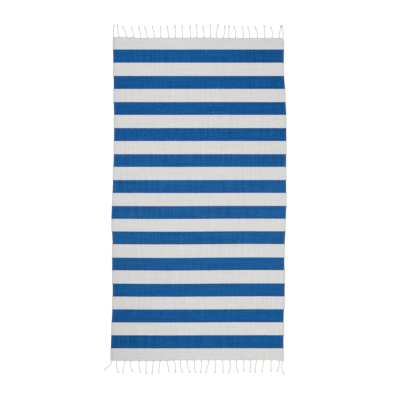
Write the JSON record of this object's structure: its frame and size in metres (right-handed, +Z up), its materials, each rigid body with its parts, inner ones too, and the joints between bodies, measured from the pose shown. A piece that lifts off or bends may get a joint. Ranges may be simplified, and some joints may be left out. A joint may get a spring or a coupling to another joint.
{
  "type": "beach towel",
  "caption": "Flat-woven cotton beach towel with broad blue and off-white stripes across it, laid out flat, with a knotted fringe along both short ends.",
  "frame": {"origin": "the middle of the cloth's underside, on the surface that the towel lies on", "axes": "+Z up out of the cloth's upper face, +Y along the towel towards the end that is uppermost in the picture, +X across it to the picture's right"},
  "size_m": [0.9543, 1.8304, 0.0054],
  "materials": {
    "striped_cotton": "matt flat-woven cotton in even stripes, deep blue (24, 86, 146) and off-white (216, 214, 211) as 8-bit sRGB; the base colour given is their average",
    "fringe_yarn": "matt off-white cotton yarn, twisted and knotted"
  },
  "bodies": {
    "root": {"towel_cloth": "striped_cotton", "fringe_top": "fringe_yarn", "fringe_bottom": "fringe_yarn"}
  },
  "joints": []
}
